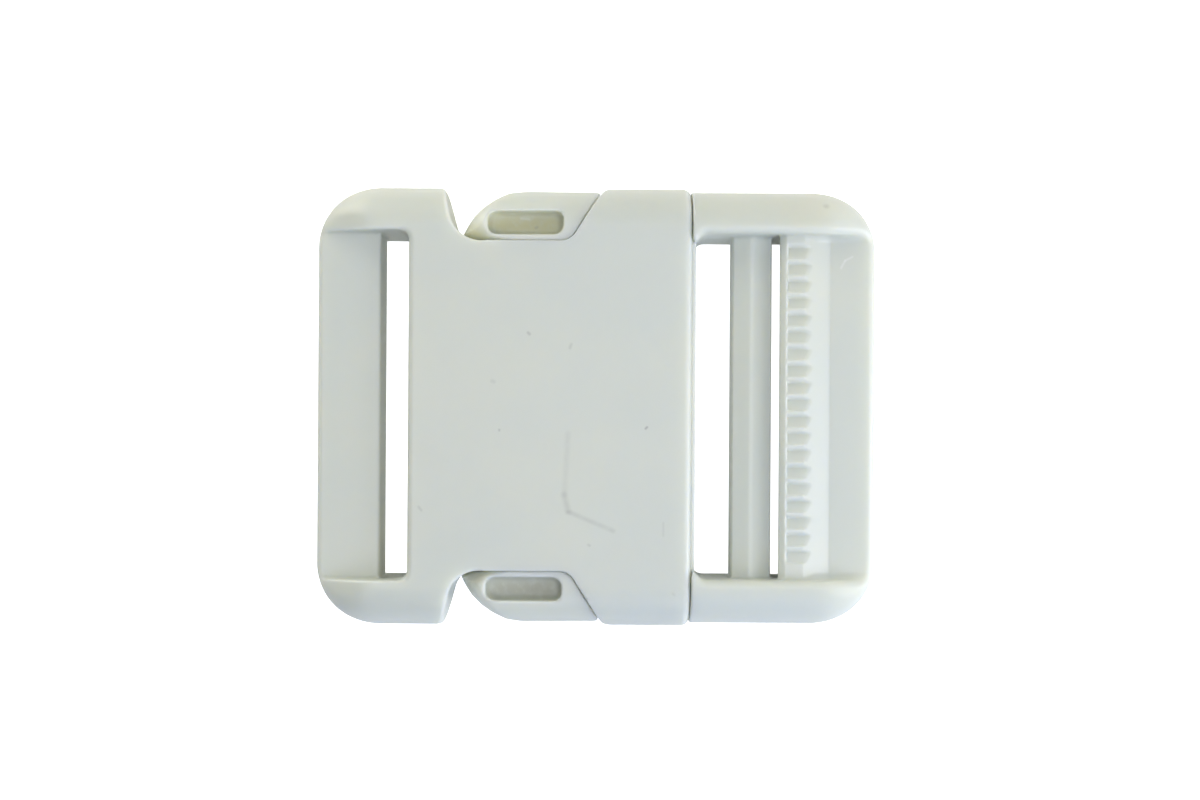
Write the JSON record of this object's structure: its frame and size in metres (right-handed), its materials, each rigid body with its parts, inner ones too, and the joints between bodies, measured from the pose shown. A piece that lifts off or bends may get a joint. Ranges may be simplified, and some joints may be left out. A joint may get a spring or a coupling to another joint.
{
  "type": "side release buckle",
  "caption": "Fastened side release buckle for wide webbing: hollow socket with a slotted end, and a plug with press buttons, centre bar and toothed end bar.",
  "frame": {"origin": "centre of the bottom of the bounding box: on the surface that the back rests on, under the middle of the buckle", "axes": "+X along the strap towards the plug's toothed end, +Y across the strap, +Z out of the front face"},
  "size_m": [0.0846, 0.0666, 0.013],
  "materials": {
    "socket_plastic": "semi-gloss moulded acetal, natural white",
    "plug_plastic": "semi-gloss moulded acetal, natural white"
  },
  "bodies": {
    "root": {"socket": "socket_plastic", "plug": "plug_plastic"}
  },
  "joints": []
}
